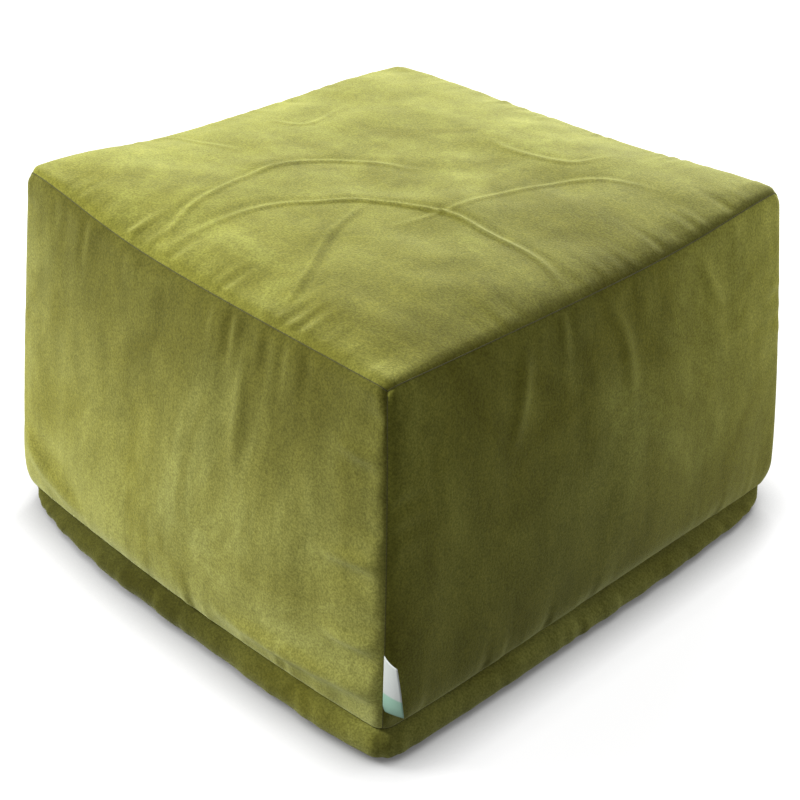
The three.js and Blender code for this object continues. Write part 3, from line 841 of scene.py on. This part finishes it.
def beads_look(nodes, links, shader):
    cells = nodes.new("ShaderNodeTexVoronoi")
    cells.inputs["Scale"].default_value = 280
    coordinates = nodes.new("ShaderNodeTexCoord")
    links.new(coordinates.outputs["Object"], cells.inputs["Vector"])
    # Painted shade: each bead's colour darkens from its middle to its edge, standing in for the shade
    # between beads.
    color = ramp_node(nodes, links, cells.outputs["Distance"], [(0.2, (0.86, 0.86, 0.85)),
                                                                (0.8, (0.55, 0.55, 0.54))])
    links.new(color, shader.inputs["Base Color"])
    shader.inputs["Roughness"].default_value = 0.6
    raised = math_node(nodes, links, "SUBTRACT", 1.0, cells.outputs["Distance"])
    links.new(bump_node(nodes, links, raised, 0.8, 0.002), shader.inputs["Normal"])


PLAIN = (1, 1, 1)
# Painted light and shade on each panel, as ramps along axes: (axis, from where, its tint there, to where,
# its tint there), in metres.
# Where a panel is painted lighter it is painted paler too, as a painted sheen.
PAINTED_LIGHT_BY_PANEL = {
    "top": [("Y", -0.33, (1.14, 1.14, 1.16), 0.0, PLAIN),
            ("X", -0.05, (1.08, 1.08, 1.06), 0.28, (0.94, 0.93, 0.92))],
    "front": [("Z", 0.12, (1.42, 1.42, 2.1), 0.42, (0.63, 0.61, 0.57)),
              ("X", -0.35, (1.25, 1.25, 1.5), -0.24, PLAIN)],
    "right": [("Z", 0.06, (0.62, 0.60, 0.50), 0.34, PLAIN),
              ("Y", -0.10, PLAIN, 0.33, (2.2, 2.2, 2.6))],
    "back": [("Z", 0.06, (0.8, 0.8, 0.8), 0.34, PLAIN)],
    "left": [("Z", 0.10, (1.1, 1.1, 1.2), 0.40, (0.8, 0.8, 0.8))],
    "bottom": [("X", 0.0, (0.72, 0.72, 0.72), 0.33, (1.9, 1.9, 2.5))],
}
BOTTOM_PAINTED_SHADE = 0.52  # painted shade: the bottom panel's velvet is darkened, standing in for the shade under the sides' overhang


# Each panel gets its own copy of the velvet, and the copies differ only in their painted light and shade.
def velvet_with_painted_light(name):
    tone = BOTTOM_PAINTED_SHADE if name == "bottom" else 1.0
    return material(f"velvet_{name}", lambda *parts: velvet_look(*parts, tone=tone, painted_light_ramps=PAINTED_LIGHT_BY_PANEL[name]))


velvets = {name: velvet_with_painted_light(name) for name in PAINTED_LIGHT_BY_PANEL}
thread = material("velvet_thread", thread_look((0.07, 0.066, 0.009), (0.11, 0.105, 0.015)))
calico_cloth = material("calico", weave_look((0.60, 0.56, 0.46), (0.78, 0.75, 0.66), 160))
calico_thread = material("calico_thread", thread_look((0.6, 0.58, 0.5), (0.8, 0.78, 0.72)))
tape_weave = material("zip_tape", weave_look((0.09, 0.092, 0.022), (0.15, 0.155, 0.04), 420))
coil = material("zip_coil", coil_look)
metal = material("zip_metal", metal_look)
ribbon = material("label_ribbon", ribbon_look)
wadding = material("wadding", wadding_look)
beads = material("beads", beads_look)


# ---- Slipcover ----

cover = Form()
cover_panels = sew("cover", cover, velvets, CLOTH, ALLOWANCE)
seam_threads("cover", cover_panels, COVER_THREAD, thread)


# ---- Zip ----

TAPE_CLOTH = 0.0005
TAPE_TUCK = 0.009  # how far behind the cover the tapes' ends are tucked
COIL_PITCH = 0.0015
COIL_WIRE = 0.00042  # radius


def stitch_row(name, panel, z):
    """A row of stitches lying on the outside of a panel of the cover, along the zip."""
    x = np.linspace(-ZIP_HALF, ZIP_HALF, 400)
    beside = 0.004  # how far to either side the panel's points are looked at
    flat = panel[panel[:, :, 1] > 0.9 * HALF_BASE - 0.03]
    places = []
    for at in x:
        near = flat[np.abs(flat[:, 0] - at) < beside]
        order = np.argsort(near[:, 2])
        places.append(np.interp(z, near[order, 2], near[order, 1]))
    smoothing = 9
    places = np.pad(places, smoothing // 2, mode="edge")
    places = np.convolve(places, np.ones(smoothing) / smoothing, mode="valid")
    path = np.stack([x, places + 0.0002, np.full_like(x, z)], axis=-1)
    mesh = tube_mesh(name, [stitched(path)], stitch_radius(COVER_THREAD), 6)
    piece = new_object(name.replace("stitching", "stitches"), mesh, thread)
    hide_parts(name)


def zip_tape(half, low, high):
    """One woven tape with a slight ripple along it, its ends tucked in behind the cover."""
    half_length = ZIP_HALF + 0.002
    rows, columns = 9, 211
    x = np.linspace(-half_length, half_length, columns)
    z = np.linspace(low[2], high[2], rows)
    xx, zz = np.meshgrid(x, z)
    ripple = 0.00012 * np.sin(xx * 70 + zz * 40)
    past_slot = np.clip((np.abs(xx) - ZIP_HALF + 0.005) / 0.007, 0, 1)
    outer = np.stack([xx, high[1] + ripple - 0.0002 - TAPE_TUCK * past_slot**1.5, zz], axis=-1)
    name = f"zip_{half}_tape"
    mesh = mesh_of(name, outer.reshape(-1, 3), grid_faces(rows, columns)[:, ::-1])
    piece = new_object(f"zip_{half}_tape_weave", mesh, tape_weave)
    thicken(piece, TAPE_CLOTH)
    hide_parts(name)


def zip_coil(half, low, high, sign):
    """A row of coil: one flattened loop of nylon to each tooth. sign is 1 for the upper row."""
    steps = 10
    turns = int((high[0] - low[0]) / COIL_PITCH)
    t = np.arange(turns * steps + 1) / steps
    angle = 2 * np.pi * t
    deep, tall = (high[1] - low[1]) / 2 - COIL_WIRE, (high[2] - low[2]) / 2 - COIL_WIRE
    y = (low[1] + high[1]) / 2 + deep * np.sin(angle)
    z = (low[2] + high[2]) / 2 + sign * tall * np.cos(angle)
    x = low[0] + COIL_PITCH * t
    name = f"zip_{half}_coil"
    mesh = tube_mesh(name, [np.stack([x, y, z], axis=-1)], lambda path: COIL_WIRE, 5)
    piece = new_object(f"zip_{half}_coil_teeth", mesh, coil)
    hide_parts(name)


stitch_row("zip_upper_stitching", cover_panels["back"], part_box("zip_upper_stitching")[0][2])
stitch_row("zip_lower_stitching", cover_panels["bottom"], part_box("zip_lower_stitching")[0][2])
for half, sign in (("upper", 1), ("lower", -1)):
    zip_tape(half, *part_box(f"zip_{half}_tape"))
    zip_coil(half, *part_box(f"zip_{half}_coil"), sign)

for node in ("zip_slider", "zip_pull", "zip_bottom_stop", "zip_upper_top_stop", "zip_lower_top_stop"):
    part = bpy.data.objects[node]
    part.data.materials.clear()
    part.data.materials.append(metal)


# ---- Label ----

LABEL_WIDE = 0.024
LABEL_RAISED = 0.015  # how much higher it hangs than the CAD model's label
LABEL_CLOTH = 0.0008


def side_label():
    """A ribbon curling out of the corner seam over the right side."""
    corner = cover_panels["front"][:, -1]
    z = np.linspace(LABEL_LOW[2], LABEL_HIGH[2], 34)
    root_x = np.interp(z, corner[:, 2], corner[:, 0])
    root_y = np.interp(z, corner[:, 2], corner[:, 1])
    share = (z - z[0]) / (z[-1] - z[0])
    z = z + LABEL_RAISED
    steps = np.linspace(0, 1, 15)
    rows = []
    step = LABEL_WIDE / (len(steps) - 1)
    for k in range(len(z)):
        lean = math.radians(10 - 34 * share[k])
        curl = math.radians(16 + 10 * share[k])
        angle = lean + curl * steps**1.4
        x = root_x[k] + np.concatenate([[0], np.cumsum(np.cos(angle[1:]) * step)])
        y = root_y[k] + np.concatenate([[0], np.cumsum(np.sin(angle[1:]) * step)])
        rows.append(np.stack([x, y, np.full_like(x, z[k])], axis=-1))
    rows = np.array(rows)
    mesh = mesh_of("side_label", rows.reshape(-1, 3), grid_faces(*rows.shape[:2]))
    piece = unattached("side_label_ribbon", mesh, ribbon)
    thicken(piece, LABEL_CLOTH)
    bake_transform(piece)
    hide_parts("side_label")


side_label()


# ---- Insert ----

LINER_LOOSE = 0.0035  # from the cover to the liner, at the middle of each face
liner = Form(LINER_INSET, LINER_LOOSE, roll=0.003, low_roll=0.003, detail=0.9)
liner_panels = sew("liner", liner, dict.fromkeys(PAINTED_LIGHT_BY_PANEL, calico_cloth), CALICO_CLOTH,
                   CALICO_ALLOWANCE)
seam_threads("liner", liner_panels, CALICO_THREAD, calico_thread)


class SoftForm(Form):
    """A layer of the insert: like the bag, but with rounded edges in place of seams."""

    def drop(self, e, roll=None, reach=0.05):
        return (0.010 if roll is None else roll) * np.maximum(0, 1 - np.asarray(e) / reach) ** 2.2

    def low_drop(self, e):
        return self.drop(e, 0.008)


LAYER_CELLS = 64


def layer(seam, middle):
    """A form whose grid has a set number of cells, so that two forms' points pair up."""
    form = SoftForm(seam, middle, detail=0.8)
    share = np.sin(np.linspace(-np.pi / 2, np.pi / 2, LAYER_CELLS + 1)) / 2 + 0.5
    form.across = share * 2 * form.half
    form.upward = share * (form.top - form.low)
    return form


BATTING = 0.015  # the batting's thickness
BATTING_GAP = 0.0012  # from the top sheet of batting to the wrap under it
LAP_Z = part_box("batting_bottom")[1][2]
WRAP_INSET = LINER_INSET + 0.008  # from the cover's seams to the batting's edges
WRAP_LOOSE = 0.0065  # from the cover to the batting, at the middle of each face
outer_layer = layer(WRAP_INSET, WRAP_LOOSE)
inner_layer = layer(WRAP_INSET + BATTING, WRAP_LOOSE + BATTING)
core_layer = layer(WRAP_INSET + BATTING + 0.002, WRAP_LOOSE + BATTING + 0.0015)


def belt(form):
    """The four sides' outsides joined into one belt, in rows from the bottom edge up."""
    return np.concatenate([form.side(name)[:, :-1] for name in SIDES], axis=1)


LAP_ROW = int(np.searchsorted(outer_layer.upward + SEAM_Z, LAP_Z))


def stuffed(node, grids, rims, look):
    """One closed piece from grids of points: (points, runs around, faces flipped). Each of rims
    closes the gap between the same row of two grids: (outer, inner, row, faces flipped)."""
    vertices, faces, firsts, count = [], [], [], 0
    for points, around, flip in grids:
        quads = grid_faces(*points.shape[:2], first=count, around=around)
        faces.append(quads[:, ::-1] if flip else quads)
        vertices.append(points.reshape(-1, 3))
        firsts.append(count)
        count += points.shape[0] * points.shape[1]
    for outer, inner, row, flip in rims:
        columns = grids[outer][0].shape[1]
        rows = grids[outer][0].shape[0]
        at = (row % rows) * columns + np.arange(columns)
        after = np.roll(at, -1)
        first, second = firsts[outer], firsts[inner]
        quads = np.stack([first + at, first + after, second + after, second + at], axis=-1)
        faces.append(quads[:, ::-1] if flip else quads)
    mesh = mesh_of(node, np.vstack(vertices), np.vstack(faces))
    work = bmesh.new()
    work.from_mesh(mesh)
    bmesh.ops.remove_doubles(work, verts=work.verts, dist=0.0012)
    bmesh.ops.recalc_face_normals(work, faces=work.faces)
    work.to_mesh(mesh)
    work.free()
    piece = new_object(f"{node}_filling", mesh, look)
    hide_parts(node)


def insert_filling():
    outer_belt, inner_belt = belt(outer_layer), belt(inner_layer)
    outer_lid = outer_layer.lid() + (0, 0, BATTING_GAP)
    inner_lid = inner_layer.lid() + (0, 0, BATTING_GAP)
    stuffed("batting_top", [(outer_lid, False, False), (inner_lid, False, True),
                            (rim(outer_lid)[None], True, False), (rim(inner_lid)[None], True, False)],
            [(2, 3, 0, False)], wadding)
    stuffed("batting_wrap", [(outer_belt[LAP_ROW:], True, False), (inner_belt[LAP_ROW:], True, True)],
            [(0, 1, 0, True), (0, 1, -1, False)], wadding)
    stuffed("batting_bottom", [(outer_layer.base(), False, True), (inner_layer.base(), False, False),
                               (outer_belt[:LAP_ROW], True, False), (inner_belt[:LAP_ROW], True, True)],
            [(2, 3, -1, False)], wadding)
    stuffed("bead_core", [(core_layer.base(), False, True), (core_layer.lid(), False, False),
                          (belt(core_layer), True, False)], [], beads)


insert_filling()


# ---- Stage ----

LIT_POINT = Vector((0, 0, 0.2))


def light(name, place, size, power):
    data = bpy.data.lights.new(name, "AREA")
    data.shape = "DISK"
    data.size = size
    data.energy = power
    lamp = bpy.data.objects.new(name, data)
    lamp.location = place
    lamp.rotation_euler = (LIT_POINT - Vector(place)).to_track_quat("-Z", "Y").to_euler()
    bpy.context.scene.collection.objects.link(lamp)


def floor():
    mesh = mesh_of("floor", [(-9, -9, 0), (9, -9, 0), (9, 9, 0), (-9, 9, 0)], [(0, 1, 2, 3)], False)
    ground = bpy.data.objects.new("floor", mesh)
    bpy.context.scene.collection.objects.link(ground)
    paper = bpy.data.materials.new("floor")
    paper.use_nodes = True
    shader = paper.node_tree.nodes["Principled BSDF"]
    shader.inputs["Base Color"].default_value = (0.30, 0.30, 0.30, 1)
    shader.inputs["Roughness"].default_value = 0.9
    shader.inputs["Specular IOR Level"].default_value = 0.0
    shader.inputs["Emission Color"].default_value = (1, 1, 1, 1)
    nodes, links = paper.node_tree.nodes, paper.node_tree.links
    path = nodes.new("ShaderNodeLightPath")
    # Painted shadow: the floor glows for the camera, and glows less where the cushion crowds it, which
    # paints its contact shadow.
    painted_shadow_ao = nodes.new("ShaderNodeAmbientOcclusion")
    painted_shadow_ao.inputs["Distance"].default_value = 0.07
    glow_with_painted_shadow = map_range(nodes, links, painted_shadow_ao.outputs["AO"], 0.35, 1, 0.10, 0.92)
    glow = math_node(nodes, links, "MULTIPLY", path.outputs["Is Camera Ray"], glow_with_painted_shadow)
    links.new(glow, shader.inputs["Emission Strength"])
    mesh.materials.append(paper)


def backdrop_light():
    """A plain white surround, dimmer as a light than it looks to the camera."""
    world = bpy.data.worlds.new("studio")
    bpy.context.scene.world = world
    world.use_nodes = True
    nodes, links = world.node_tree.nodes, world.node_tree.links
    background = nodes["Background"]
    background.inputs["Color"].default_value = (1, 1, 1, 1)
    path = nodes.new("ShaderNodeLightPath")
    seen = path.outputs["Is Camera Ray"]
    for ray in ("Is Glossy Ray", "Is Transmission Ray"):
        seen = math_node(nodes, links, "MAXIMUM", seen, path.outputs[ray])
    links.new(map_range(nodes, links, seen, 0, 1, 0.22, 1.0), background.inputs["Strength"])


def camera():
    azimuth, elevation = math.radians(46.18), math.radians(30.53)
    distance = 1.9855
    target = Vector((0.003, 0.003, 0.1410))
    away = Vector((math.sin(azimuth) * math.cos(elevation), -math.cos(azimuth) * math.cos(elevation),
                   math.sin(elevation)))
    data = bpy.data.cameras.new("camera")
    data.lens = 73.3
    data.sensor_width = 36
    data.clip_start = 0.05
    view = bpy.data.objects.new("camera", data)
    view.location = target + away * distance
    view.rotation_euler = (-away).to_track_quat("-Z", "Y").to_euler()
    bpy.context.scene.collection.objects.link(view)
    bpy.context.scene.camera = view


camera()
floor()
backdrop_light()
light("key", (-2.4, -2.0, 2.3), 1.6, 140)
light("back", (-1.4, 2.6, 1.9), 1.6, 135)
light("rim", (1.6, 3.4, 0.9), 1.0, 40)
light("front", (-0.9, -2.0, 0.5), 0.9, 9)
bpy.context.scene.view_settings.view_transform = "Standard"
